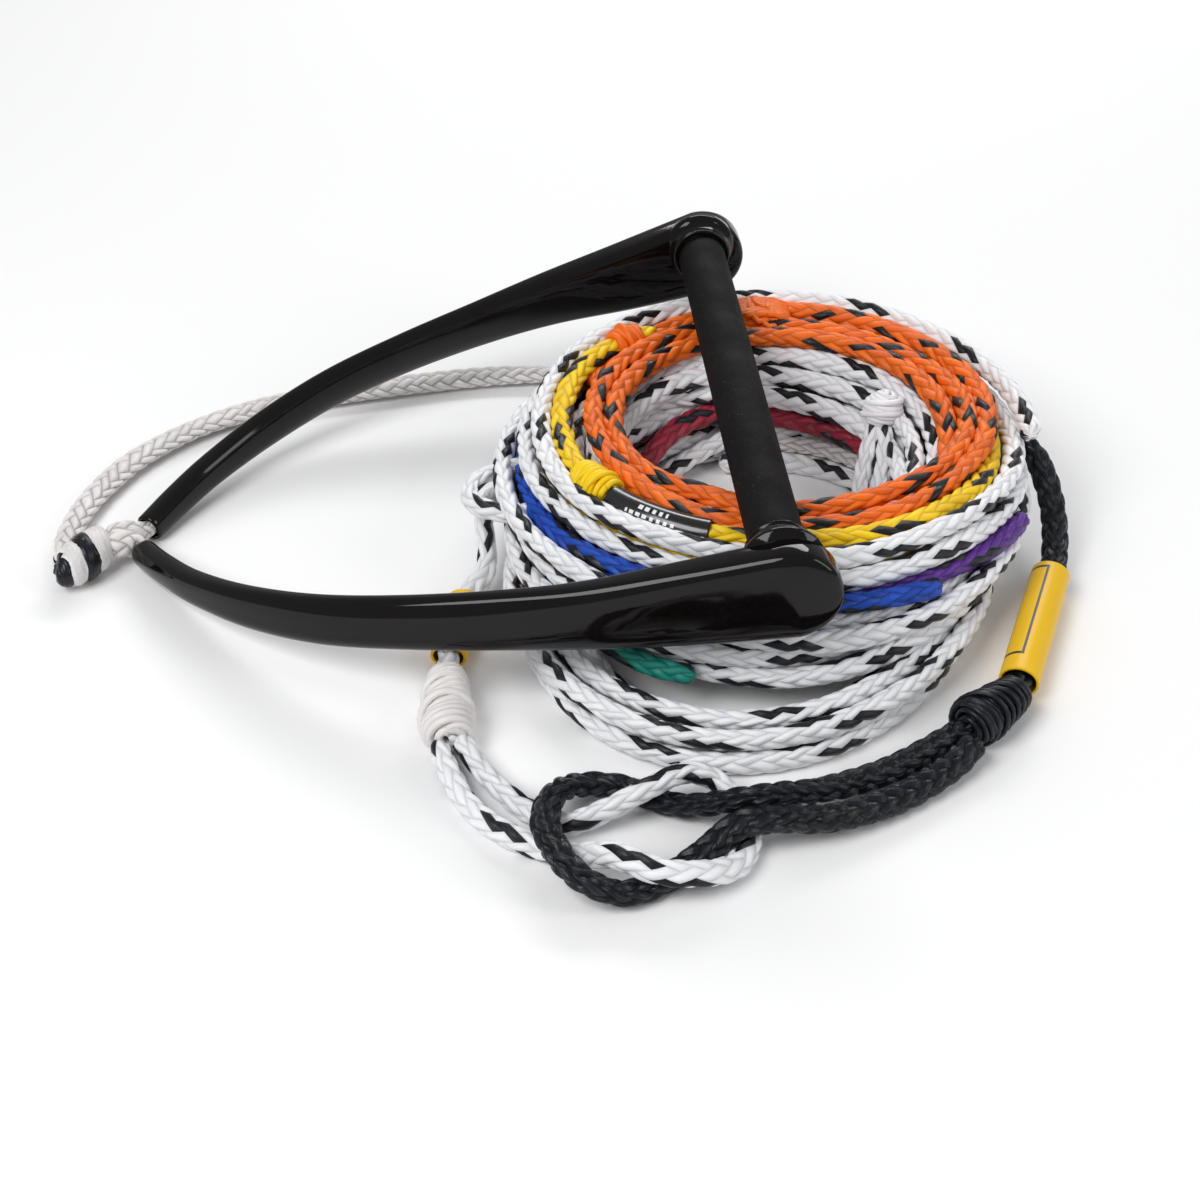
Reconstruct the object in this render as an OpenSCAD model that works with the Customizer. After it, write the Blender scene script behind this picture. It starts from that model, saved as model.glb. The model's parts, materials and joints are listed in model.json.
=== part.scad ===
// Water-ski tow handle with its coiled, colour-coded mainline.
// +X runs from the handle's apex to the bar, +Y along the bar, +Z up from the ground.
// The origin is under the middle of the handle, on the ground that everything lies on.

/* [Grip bar] */
// Outer diameter of the foam grip
grip_d = 28.6; // [26:0.2:32]
// Length of the foam grip between the arms' collars
grip_length = 311; // [280:1:330]
// Outer diameter of the aluminium bar
bar_d = 22; // [20:0.5:24]
// Wall of the aluminium bar
bar_wall = 2; // [1.5:0.25:3]
// Depth of the bar in each arm's socket
socket_depth = 12; // [8:1:14]
// Radial gap of the bar in its sockets, so that it can roll
socket_gap = 0.05; // [0.02:0.01:0.1]
// Depth of each end plug in the bar
plug_depth = 18; // [10:1:30]

/* [Arms] */
// Distance from the apex pivot to the bar's axis, along the handle
bar_reach = 356; // [330:1:360]
// Radius of an arm's rounded end around the bar
end_r = 26; // [22:0.5:27]
// Drop of the rounded ends' middle below the bar's axis
end_drop = 9; // [0:0.5:9]
// Thickness of an arm at the bar
end_thickness = 22; // [20:0.5:24]
// Radius of the collar that meets the grip
collar_r = 16.5; // [15:0.25:18]
// Radius of an arm's mouth at the apex
tip_r = 8; // [7:0.25:9]
// Distance from the apex pivot to the arms' mouths
tip_start = 9; // [8:1:12]
// Radius of the rope passage inside an arm
channel_r = 4.6; // [4.4:0.1:5]

/* [Ropes] */
// Diameter of the bridle rope inside the arms and the bar
bridle_d = 8; // [7:0.5:8.5]
// Diameter of the braided mainline and handle rope
rope_d = 11; // [10:0.5:11]
// Height of one layer of the coil, two ropes high
layer_h = 21; // [21:0.5:22]
// Radius of the plastic sleeve on the boat-end rope
sleeve_r = 10; // [8:0.5:11]
// Length of the plastic sleeve on the boat-end rope
sleeve_length = 100; // [50:1:105]

/* [Hidden] */
$fn = 64;
rope_sides = 10;
arm_sides = 16;

// The bar lies on the top layer of the coil, and the arms' mouths touch the ground.
coil_top = 3 * layer_h + 16.6;
grip_clearance = 0.3;
bar_z = coil_top + grip_clearance + grip_d / 2;
// Slope of the handle's plane that puts the lower edge of the mouths at Z = 0
tip_to_bar = bar_reach - tip_start;
slope = asin(bar_z / norm([tip_r, tip_to_bar])) - atan2(tip_r, tip_to_bar);
pivot_z = bar_z - bar_reach * sin(slope);
stub_start = 1;
// The handle is centred on X = 0 between the bridle's stub and the arms' rounded ends
pivot_x = -((bar_reach + stub_start) * cos(slope) + end_r + (end_drop - bridle_d / 2) * sin(slope)) / 2;

// Places along the bar, measured from its middle
collar_face = grip_length / 2 + 0.5;
bar_end = collar_face + socket_depth;
flange = 1.5;
chamber_end = bar_end + 17;
arm_outer = chamber_end + 4;
arm_mid = arm_outer - end_thickness / 2;
chamber_r = 13;
inner_face = arm_outer - end_thickness;

// Stations of an arm: along, out, depth across the plane, thickness, lean of the section, drop below the plane
ARM = [
    [tip_start, 10, 2 * tip_r, 15, 0, 0], [26, 35, 18, 15, 4, 0], [46, 60, 20, 15, 9, 0], [78, 90, 24, 15, 15, 0],
    [118, 117, 27, 15, 19, 0], [164, 137, 29, 15, 19, 1], [214, 153, 32, 16, 15, 3], [258, 164, 36, 18, 9, 5],
    [306, 171, 43, 20, 4, 7.5], [bar_reach, arm_mid, 2 * end_r - 2, end_thickness - 1, 0, end_drop]
];
// The bridle's path inside an arm: along, out; it turns into the bar's bore at the end
BRIDLE = [
    [stub_start, 6], [5, 6], [tip_start + 2, 11], [26, 35], [46, 60], [78, 90], [118, 117], [164, 137], [214, 153],
    [258, 164], [306, 172], [331, 177], [344, 178.5], [352, 175.5], [bar_reach, 167], [bar_reach, 120],
    [bar_reach, 60], [bar_reach, 0]
];

// Routes of the ropes that aren't coiled
HANDLE_ROUTE = [
    [-210, -24, 12], [-216, -14, 9], [-222, 2, 6], [-220, 24, 6], [-211, 54, 6], [-193, 88, 6], [-162, 120, 6],
    [-126, 141, 6], [-86, 154, 6], [-48, 162, 6], [-10, 168, 6], [30, 172, 6], [72, 170, 6], [112, 158, 6],
    [140, 134, 6], [152, 106, 6], [156, 52, 6]
];
TOW_ROUTE = [
    [38, -30, 33], [27, -39, 26], [16, -51, 16], [6, -67, 10], [-2, -90, 9], [-6, -114, 9], [-8, -140, 10],
    [-8, -168, 10], [0, -192, 8], [12, -216, 6], [28, -238, 6], [46, -250, 6], [66, -248, 12], [88, -240, 18],
    [106, -231, 18], [121, -232, 12], [131, -244, 6], [134, -258, 6], [131, -272, 6], [122, -287, 8],
    [105, -297, 15], [86, -297, 18], [66, -286, 19], [46, -271, 6], [20, -256, 6], [1, -234, 6],
    [-9, -208, 8], [-14, -190, 9]
];
BOAT_ROUTE = [
    [316, 2, 54], [329, -10, 48], [335, -28, 36], [336, -46, 22], [331, -68, 12], [320, -98, 11], [306, -126, 11],
    [294, -152, 11], [284, -172, 11], [268, -190, 12], [240, -208, 10], [206, -227, 8], [172, -242, 12],
    [148, -250, 18], [130, -252, 18], [114, -248, 12], [98, -240, 6], [76, -226, 6], [56, -226, 9],
    [42, -240, 17], [36, -260, 18], [41, -282, 18], [52, -296, 14], [70, -299, 7], [90, -290, 6],
    [108, -279, 9], [126, -270, 18], [144, -267, 18], [172, -262, 12], [206, -248, 8], [236, -229, 9],
    [254, -212, 12]
];
TAKEOFF_ROUTE = [
    [47, -4, 51], [30, -8, 52], [14, -16, 51], [8, -30, 50], [14, -43, 50], [30, -50, 50], [48, -50, 50]
];

// Pieces on the ropes
TOW_SLEEVE = [[3, -72, 9], [-7, -122, 9.5]];
TOW_WRAP = [[-8, -142, 13], [-8, -190, 13]];
BOAT_WRAP = [[282, -178, 13], [250, -204, 13]];
BOAT_SLEEVE_START = [286, -168, 11];
BOAT_SLEEVE_END = [331, -68, 11];
KNOT_START = [-197, -8, 13.5];
KNOT_DIR = [-0.8, -0.6, 0];
knot_white_r = 12.2;
knot_black_r = 13.3;

// Centres of the coil's four layers: the turns lean back a little as they rise
LAYER = [[160, -82], [178, -42], [183, -20], [187, -1]];
rope_r = rope_d / 2;
yellow_in = 116;
yellow_out = 126;
wrap_from = 202;
sleeve_from = 216;
sleeve_to = 243;
wrap_r = 9;
barrel_r = 13;
label_r = 7;

// ---- helpers ----

function unit(v) = v / norm(v);
function tangent(p, i) = unit(p[min(i + 1, len(p) - 1)] - p[max(i - 1, 0)]);
function side_of(t) = unit(cross([0, 0, 1], t));

// One ring of an oval section around centre c, square to direction t, leaning by an angle
function ring(c, t, wide, tall, lean, sides) =
    let (s = side_of(t), u = cross(t, s))
    [for (k = [0 : sides - 1])
        let (a = 360 * k / sides, x = wide / 2 * cos(a), y = tall / 2 * sin(a))
        c + s * (x * cos(lean) - y * sin(lean)) + u * (x * sin(lean) + y * cos(lean))];

// A closed skin over a list of rings that all have the same number of points
module skin(rings) {
    n = len(rings[0]);
    m = len(rings);
    polyhedron(
        points = [for (r = rings) each r],
        faces = concat(
            [[for (k = [0 : n - 1]) k]],
            [[for (k = [n - 1 : -1 : 0]) (m - 1) * n + k]],
            [for (i = [0 : m - 2], k = [0 : n - 1])
                let (a = i * n + k, b = i * n + (k + 1) % n)
                each [[a, a + n, b + n], [a, b + n, b]]]));
}

// A round tube along a route
module tube(route, d, sides) {
    skin([for (i = [0 : len(route) - 1]) ring(route[i], tangent(route, i), d, d, 0, sides)]);
}

// Places its children at a point with +Z along a level direction
module along(from, to) {
    translate(from)
        rotate([0, acos((to - from)[2] / norm(to - from)), atan2((to - from)[1], (to - from)[0])])
            children();
}

// Places its children on the sloping plane of the handle, from its apex pivot
module on_handle() {
    translate([pivot_x, 0, pivot_z]) rotate([0, -slope, 0]) children();
}

// Places its children on the bar's axis, with +Z along +Y
module on_bar() {
    translate([pivot_x + bar_reach * cos(slope), 0, bar_z]) rotate([-90, 0, 0]) children();
}

// A flat-topped ring of rope turns, from one angle through another
module turns(layer, r_in, r_out, z0, z1, from = 0, sweep = 360) {
    translate([LAYER[layer][0], LAYER[layer][1], z0]) rotate([0, 0, from])
        rotate_extrude(angle = sweep) translate([r_in, 0]) square([r_out - r_in, z1 - z0]);
}

// A round bar bent along part of the top layer
module bent_bar(r_mid, r_bar, z, from, sweep) {
    translate([LAYER[3][0], LAYER[3][1], z]) rotate([0, 0, from])
        rotate_extrude(angle = sweep) translate([r_mid, 0]) circle(r_bar);
}

// ---- handle ----

// One arm's cover: a lean oval shell with a rope passage, a bar socket and a turning chamber
module arm() {
    stations = len(ARM);
    outer = [for (a = ARM) [a[0], a[1], -a[5]]];
    turn = 13;
    channel = [for (i = [1 : turn]) [BRIDLE[i][0], BRIDLE[i][1], 0]];
    edge = 4;
    difference() {
        union() {
            skin([for (i = [0 : stations - 1])
                ring(outer[i], i == 0 || i == stations - 1 ? [1, 0, 0] : tangent(outer, i),
                    ARM[i][3], ARM[i][2], ARM[i][4], arm_sides)]);
            translate([bar_reach, inner_face, -end_drop]) rotate([-90, 0, 0]) rotate_extrude() {
                square([end_r - edge, end_thickness]);
                translate([0, edge]) square([end_r, end_thickness - 2 * edge]);
                for (y = [edge, end_thickness - edge]) translate([end_r - edge, y]) circle(edge);
            }
            translate([bar_reach, collar_face, 0]) rotate([-90, 0, 0])
                cylinder(r = collar_r, h = inner_face - collar_face + 1);
        }
        skin([for (i = [0 : len(channel) - 1])
            ring(channel[i], tangent(channel, i), 2 * channel_r, 2 * channel_r, 0, 8)]);
        translate([bar_reach, collar_face - 1, 0]) rotate([-90, 0, 0])
            cylinder(r = bar_d / 2 + socket_gap, h = bar_end + flange - collar_face + 1.2);
        translate([bar_reach, bar_end + flange, 0]) rotate([-90, 0, 0])
            cylinder(r = chamber_r, h = chamber_end - bar_end - flange);
    }
}

module arm_far() {
    color("black") on_handle() arm();
}

module arm_near() {
    color("black") on_handle() mirror([0, 1, 0]) arm();
}

// One rope from mouth to mouth: down one arm, through the bar and back up the other arm
module bridle_rope() {
    half = [for (p = BRIDLE) [p[0], p[1], 0]];
    other = [for (i = [len(BRIDLE) - 2 : -1 : 0]) [BRIDLE[i][0], -BRIDLE[i][1], 0]];
    color("white") on_handle() tube(concat(half, other), bridle_d, 8);
}

module bar_tube() {
    color("silver") on_bar() difference() {
        cylinder(d = bar_d, h = 2 * bar_end, center = true);
        cylinder(d = bar_d - 2 * bar_wall, h = 2 * bar_end + 2, center = true);
    }
}

// A plug with a flange over the bar's end and a hole for the bridle
module bar_plug() {
    hole_r = bridle_d / 2 + 0.6;
    translate([0, 0, bar_end]) difference() {
        union() {
            cylinder(d = bar_d, h = flange);
            translate([0, 0, -plug_depth]) cylinder(r = bar_d / 2 - bar_wall, h = plug_depth + flange / 2);
        }
        translate([0, 0, -plug_depth - 1]) cylinder(r = hole_r, h = plug_depth + flange + 2);
        translate([0, 0, -0.5]) cylinder(r1 = hole_r, r2 = hole_r + 2, h = flange + 0.6);
    }
}

module bar_plug_far() {
    color("dimgray") on_bar() bar_plug();
}

module bar_plug_near() {
    color("dimgray") on_bar() mirror([0, 0, 1]) bar_plug();
}

module grip() {
    color([0.09, 0.09, 0.1]) on_bar() difference() {
        cylinder(d = grip_d, h = grip_length, center = true);
        cylinder(d = bar_d, h = grip_length + 2, center = true);
    }
}

// ---- apex knot and handle rope ----

// A bulging piece of the knot between two distances along it
module knot_part(from, to, r) {
    length = to - from;
    along(KNOT_START + KNOT_DIR * from, KNOT_START + KNOT_DIR * to) rotate_extrude() intersection() {
        translate([0, length / 2]) circle(r);
        square([r, length]);
    }
}

module knot_white() {
    color("white") knot_part(0, 12, knot_white_r);
}

module knot_black() {
    color("black") knot_part(12, 24, knot_black_r);
}

module knot_tail() {
    color("white") knot_part(24, 33, knot_white_r - 1);
}

module handle_rope() {
    color("white") tube(HANDLE_ROUTE, rope_d, rope_sides);
}

// ---- coil ----

module coil_handle_turn() {
    color("ghostwhite") turns(0, 122, 134, 0, layer_h);
}

module coil_white_base() {
    color("white") turns(0, 92, 122, 0, layer_h);
}

module coil_red() {
    color([0.5, 0.03, 0.1]) turns(1, 94, 116, layer_h, 2 * layer_h);
}

module coil_green() {
    color("teal") turns(1, 116, 127, layer_h, 2 * layer_h);
}

module coil_white_short() {
    color("white") turns(1, 127, 142, layer_h, 2 * layer_h);
}

module coil_white_long() {
    color("white") turns(2, 88, 117, 2 * layer_h, 3 * layer_h);
}

module coil_violet() {
    color("indigo") turns(2, 117, 128, 2 * layer_h, 3 * layer_h);
}

module coil_blue() {
    color([0.1, 0.25, 0.85]) turns(2, 128, 139, 2 * layer_h, 3 * layer_h);
}

module coil_orange() {
    color("orangered") turns(3, 93, yellow_in, 3 * layer_h, coil_top);
}

// The yellow section is a band of turns, and one bare rope through its wrap and label sleeve
module coil_yellow() {
    color("gold") {
        turns(3, yellow_in, yellow_out, 3 * layer_h, 3 * layer_h + 12, sleeve_to, 360 + wrap_from - sleeve_to);
        bent_bar(yellow_out, rope_r, 3 * layer_h + wrap_r, wrap_from - 1, sleeve_to - wrap_from + 2);
    }
}

module coil_white_rim() {
    color("white") turns(3, yellow_out, 137, 3 * layer_h, coil_top - 3, -50, 215);
}

// A sleeve bent along the yellow rope
module bent_sleeve(r, from, sweep) {
    translate([LAYER[3][0], LAYER[3][1], 3 * layer_h + wrap_r]) rotate([0, 0, from])
        rotate_extrude(angle = sweep) translate([yellow_out, 0]) difference() {
            circle(r);
            circle(rope_r);
        }
}

module yellow_wrap() {
    color("gold") bent_sleeve(wrap_r, wrap_from + 1, sleeve_from - wrap_from - 1);
}

module label_sleeve() {
    color([0.05, 0.05, 0.05]) bent_sleeve(label_r, sleeve_from, sleeve_to - sleeve_from - 1);
}

module orange_wrap_left() {
    color("orangered") turns(3, 98, 116, coil_top, coil_top + 4, 130, 10);
}

module orange_wrap_back() {
    color("orangered") turns(3, 98, 116, coil_top, coil_top + 4, 84, 10);
}

// The round wrap that shows inside the coil
module white_knot() {
    color("white") translate([LAYER[2][0] + 62, LAYER[2][1] + 44, 56]) sphere(r = 11.5);
}

module takeoff_loop() {
    color("white") tube(TAKEOFF_ROUTE, rope_d - 1, rope_sides);
}

// ---- boat end ----

module tow_rope() {
    color("white") tube(TOW_ROUTE, rope_d, rope_sides);
}

module tow_sleeve() {
    color("gold") along(TOW_SLEEVE[0], TOW_SLEEVE[1])
        cylinder(r = sleeve_r - 0.5, h = norm(TOW_SLEEVE[1] - TOW_SLEEVE[0]));
}

// A barrel of wrapped cord between two points, a little slimmer at its ends
module barrel(ends) {
    r = barrel_r;
    h = norm(ends[1] - ends[0]);
    along(ends[0], ends[1]) {
        cylinder(r1 = r - 2, r2 = r, h = h / 4);
        translate([0, 0, h / 4]) cylinder(r = r, h = h / 2);
        translate([0, 0, h * 3 / 4]) cylinder(r1 = r, r2 = r - 2, h = h / 4);
    }
}

module tow_wrap() {
    color("white") barrel(TOW_WRAP);
}

module boat_rope() {
    color([0.08, 0.08, 0.1]) tube(BOAT_ROUTE, rope_d, rope_sides);
}

module boat_sleeve() {
    color("gold") along(BOAT_SLEEVE_START, BOAT_SLEEVE_END) cylinder(r = sleeve_r, h = sleeve_length);
}

module boat_wrap() {
    color([0.08, 0.08, 0.1]) barrel(BOAT_WRAP);
}

arm_near();
arm_far();
bridle_rope();
bar_tube();
bar_plug_near();
bar_plug_far();
grip();
knot_white();
knot_black();
knot_tail();
handle_rope();
coil_handle_turn();
coil_white_base();
coil_white_rim();
coil_white_long();
coil_white_short();
coil_red();
coil_green();
coil_violet();
coil_blue();
coil_yellow();
coil_orange();
yellow_wrap();
label_sleeve();
orange_wrap_left();
orange_wrap_back();
white_knot();
takeoff_loop();
tow_rope();
tow_sleeve();
tow_wrap();
boat_rope();
boat_sleeve();
boat_wrap();
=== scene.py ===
"""Looks of a water-ski tow handle that lies on its coiled, colour-coded mainline."""
import bmesh
import bpy
import json
import math
import numpy as np
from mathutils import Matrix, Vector


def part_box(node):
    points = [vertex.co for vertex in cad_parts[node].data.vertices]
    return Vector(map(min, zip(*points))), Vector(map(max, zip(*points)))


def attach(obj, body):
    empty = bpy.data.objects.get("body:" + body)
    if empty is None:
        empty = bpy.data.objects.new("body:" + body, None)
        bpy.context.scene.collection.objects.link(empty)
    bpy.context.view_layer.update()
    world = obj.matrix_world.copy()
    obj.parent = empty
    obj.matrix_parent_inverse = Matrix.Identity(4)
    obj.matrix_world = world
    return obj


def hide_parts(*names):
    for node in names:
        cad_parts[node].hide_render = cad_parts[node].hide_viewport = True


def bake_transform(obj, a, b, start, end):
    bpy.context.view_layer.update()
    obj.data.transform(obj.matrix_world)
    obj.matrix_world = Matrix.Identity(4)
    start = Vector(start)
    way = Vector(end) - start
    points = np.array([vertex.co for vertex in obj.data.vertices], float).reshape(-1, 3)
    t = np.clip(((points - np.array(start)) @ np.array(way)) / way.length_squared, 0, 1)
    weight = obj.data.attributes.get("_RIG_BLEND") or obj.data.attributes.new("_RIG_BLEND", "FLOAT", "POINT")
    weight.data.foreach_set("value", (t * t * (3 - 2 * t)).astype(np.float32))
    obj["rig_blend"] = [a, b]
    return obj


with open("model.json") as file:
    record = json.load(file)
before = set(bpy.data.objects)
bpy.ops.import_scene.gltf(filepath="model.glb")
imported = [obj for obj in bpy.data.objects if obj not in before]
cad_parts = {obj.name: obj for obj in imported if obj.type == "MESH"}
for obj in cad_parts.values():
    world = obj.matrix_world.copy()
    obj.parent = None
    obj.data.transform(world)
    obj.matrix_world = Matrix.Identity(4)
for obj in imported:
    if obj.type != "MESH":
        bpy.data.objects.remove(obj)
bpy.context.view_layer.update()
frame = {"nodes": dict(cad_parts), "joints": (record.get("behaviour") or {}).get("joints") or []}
MM = 0.001

# ---- the frame's own values ----

JOINTS = {j["name"]: j for j in frame["joints"]}
APEX = np.array(JOINTS["handle_lift"]["pos_m"])
BAR = np.array(JOINTS["bar_roll"]["pos_m"])
SLOPE = math.atan2(BAR[2] - APEX[2], BAR[0] - APEX[0])
REACH = float(np.linalg.norm(BAR - APEX))
GRIP_LOW, GRIP_HIGH = (np.array(c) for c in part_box("grip"))
GRIP_R = (GRIP_HIGH[2] - GRIP_LOW[2]) / 2
GRIP_HALF = GRIP_HIGH[1]
ARM_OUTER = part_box("arm_far")[1][1]
END_R = 26 * MM


def on_plane(points):
    """From the handle's plane in millimetres to the frame in metres."""
    e1 = np.array([math.cos(SLOPE), 0, math.sin(SLOPE)])
    e3 = np.array([-math.sin(SLOPE), 0, math.cos(SLOPE)])
    p = np.asarray(points) * MM
    return APEX + p[:, :1] * e1 + p[:, 1:2] * np.array([0, 1, 0]) + p[:, 2:] * e3


# ---- camera ----

def make_camera():
    target = np.array([0.0775, -0.0658, 0.0])
    azimuth, elevation, distance = math.radians(4.6), math.radians(36.9), 1.098
    level = math.cos(elevation)
    back = np.array([-math.sin(azimuth) * level, -math.cos(azimuth) * level, math.sin(elevation)])
    cam = bpy.data.objects.new("camera", bpy.data.cameras.new("camera"))
    bpy.context.scene.collection.objects.link(cam)
    cam.location = Vector(target + back * distance)
    cam.rotation_mode = "QUATERNION"
    cam.rotation_quaternion = Vector(-back).to_track_quat("-Z", "Y")
    cam.data.lens = 59.5
    cam.data.sensor_width = 36
    cam.data.clip_start, cam.data.clip_end = 0.01, 100
    bpy.context.scene.camera = cam


make_camera()

# ---- routes of the ropes that aren't coiled, in millimetres ----

HANDLE_ROUTE = [
    [-210, -24, 12], [-216, -14, 9], [-222, 2, 6], [-220, 24, 6], [-211, 54, 6], [-193, 88, 6],
    [-162, 120, 6], [-126, 141, 6], [-86, 154, 6], [-48, 162, 6], [-10, 168, 6], [30, 172, 6], [72, 170, 6],
    [112, 158, 6],
    [150, 144, 6.5], [190, 126, 8], [224, 109, 10], [250, 91, 11.5]    # behind the coil, to its first turn
]
TOW_ROUTE = [
    [16, -51, 16], [6, -67, 10], [-2, -90, 9], [-6, -114, 9], [-8, -140, 10], [-8, -168, 10], [0, -192, 8],
    [12, -216, 6], [28, -238, 6], [46, -250, 6], [66, -248, 12], [88, -240, 18], [106, -231, 18],
    [121, -232, 12], [131, -244, 6], [134, -258, 6], [131, -272, 6], [122, -287, 8], [105, -297, 15],
    [86, -297, 18], [66, -286, 19], [46, -271, 6], [20, -256, 6], [1, -234, 6], [-9, -208, 8],
    [-14, -190, 9]
]
BOAT_ROUTE = [
    [316, 2, 54], [329, -10, 48], [335, -28, 36], [336, -46, 22], [331, -68, 12], [320, -98, 11],
    [306, -126, 11], [294, -152, 11], [284, -172, 11], [268, -190, 12], [240, -208, 10], [206, -227, 8],
    [172, -242, 12], [148, -250, 18], [130, -252, 18], [114, -248, 12], [98, -240, 6], [76, -226, 6],
    [56, -226, 9], [42, -240, 17], [36, -260, 18], [41, -282, 18], [52, -296, 14], [70, -299, 7],
    [90, -290, 6], [108, -279, 9], [126, -270, 18], [144, -267, 18], [172, -262, 12], [206, -248, 8],
    [236, -229, 9], [254, -212, 12]
]
TAKEOFF_ROUTE = [
    [47, -4, 51], [30, -8, 52], [14, -16, 51], [8, -30, 50], [14, -43, 50], [30, -50, 50], [48, -50, 50]
]

# ---- coil layout ----

STATIONS = 48              # places round the coil where the turns are kept apart
COIL_AXIS = np.array([172.0, -38.0])
ROPE_GAP = 12.2            # distance between the middles of two turns that touch
LANE = 12.3
FLOOR_Z, LEVEL_H, TOP_Z = 6.3, 10.7, 73.5
LANE_CHANGE = 0.2          # part of a turn in which a rope moves to its next lane
SWAY_OUT, SWAY_UP = 1.0, 0.7    # how far a turn strays from its lane, in mm
SETTLE_ROUNDS, PUSH, STIFFNESS, HOLD = 500, 0.3, 0.22, 0.012
# One row a level: front of its outer turn, back of its inner turn, turns, half width, middle, skew
LEVELS = [
    (-213, 65, 3, 123, 163, 0.15), (-206, 70, 2, 127, 163, 0.15), (-173, 74, 5, 140, 168, 0.10),
    (-163, 79, 5, 142, 169, 0.06), (-151, 84, 5, 141, 172, 0.03), (-138, 91, 4, 135, 178, 0.0),
    (-133, 97, 4, 132, 185, 0.0)
]
# Section: rope length in the coil in metres, start angle, then (level, lane, turns) in winding order
SECTIONS = {
    "handle": (0.93, 62, [(0, 1, 0.9), (1, 2, 0.5)]),
    "main": (8.75, 100, [(0, 2, 1), (1, 1, 1), (1, 0, 1), (0, 0, 1), (2, 0, 0.52), (2, 1, 1.28), (3, 1, 1),
                         (3, 0, 0.8), (4, 0, 0.72), (5, 0, 1), (6, 0, 1.1)]),
    "short": (0.5, 60, [(3, 1, 0.8)]),
    "violet": (0.5, 342, [(4, 0, 0.10), (4, 1, 0.12), (4, 2, 0.9)]),
    "blue": (0.75, 306, [(4, 0, 0.16), (4, 1, 0.9)]),
    "green": (1.0, 244, [(2, 0, 0.1), (2, 2, 1.5)]),
    "yellow": (1.25, 2, [(5, 1, 1.03), (6, 1, 0.8)]),
    "orange": (1.75, 134, [(6, 1, 0.38), (6, 2, 1), (6, 3, 1), (5, 3, 0.5)]),
    "red": (2.25, 20, [(3, 3, 1), (2, 3, 1), (2, 4, 2.0)]),
    "long": (4.16, 185, [(3, 2, 1), (4, 3, 1), (5, 2, 1), (5, 3, 1), (4, 4, 1), (3, 4, 1.7)]),
}


def smooth_step(x):
    x = np.clip(x, 0, 1)
    return x * x * (3 - 2 * x)


def slot_target(level, lane, angle):
    """Distance from the coil's axis, and height, of one turn of the coil at these angles."""
    front, back, turns, half_width, middle, skew = LEVELS[level]
    front, back = front + lane * LANE, back + (turns - 1 - lane) * LANE
    half_x, half_y, cy = half_width - lane * LANE, (back - front) / 2, (back + front) / 2
    ux, uy = np.cos(angle), np.sin(angle)
    ox, oy = COIL_AXIS[0] - middle - skew * (COIL_AXIS[1] - cy), COIL_AXIS[1] - cy
    dx = ux - skew * uy
    a = (dx / half_x) ** 2 + (uy / half_y) ** 2
    b = ox * dx / half_x ** 2 + oy * uy / half_y ** 2
    c = (ox / half_x) ** 2 + (oy / half_y) ** 2 - 1
    return (-b + np.sqrt(b * b - a * c)) / a, np.full_like(angle, FLOOR_Z + level * LEVEL_H)


def section_samples(name, rng):
    """Angles and target places of one section's samples, a station apart."""
    length, start, slots = SECTIONS[name]
    ends = np.cumsum([s[2] for s in slots])
    step = 1 / STATIONS
    first = round(start / 360 * STATIONS)
    count = int(ends[-1] * STATIONS)
    number = first - np.arange(count)
    angle, turn = number * 2 * math.pi * step, np.arange(count) * step
    r, z = slot_target(*slots[0][:2], angle)
    for i in range(1, len(slots)):
        w = smooth_step((turn - ends[i - 1]) / LANE_CHANGE + 0.5)
        r2, z2 = slot_target(*slots[i][:2], angle)
        r, z = r + w * (r2 - r), z + w * (z2 - z)
    for _ in range(3):
        f, p, q = rng.uniform(1.2, 4.5), *rng.uniform(0, 2 * math.pi, 2)
        r = r + SWAY_OUT * np.sin(2 * math.pi * f * turn + p)
        z = z + SWAY_UP * np.sin(2 * math.pi * f * turn + q)
    along = np.concatenate([[0], np.cumsum(np.hypot(r[1:] * 2 * math.pi * step, np.diff(r)))])
    keep = along < length / MM * 1.07 + 15    # a little spare, because each rope is cut to length later
    return number[keep], angle[keep], np.stack([r, z], 1)[keep]


def adjust_targets(name, angle, target):
    """Local habits of some sections: where they leave their lane."""
    turn = (angle[0] - angle) / (2 * math.pi)
    if name == "handle":
        lead_in = 1 - smooth_step(turn / 0.12)
        target[:, 0] += 34 * lead_in
        target[:, 1] += 4 * lead_in
    if name == "yellow":
        left = np.exp(-((np.degrees(angle) % 360 - 195) / 42) ** 2) * (turn > 0.9)
        right = np.exp(-((np.degrees(angle) % 360 - 320) / 28) ** 2) * (turn > 0.9)
        target[:, 0] += 12 * left + 4 * right
        target[:, 1] += 2.5 * left + 2 * right
    if name == "long":
        lead_in = 1 - smooth_step(turn / 0.16)
        target[:, 0] += 44 * lead_in
        target[:, 1] += -6 * lead_in
    return target


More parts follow.
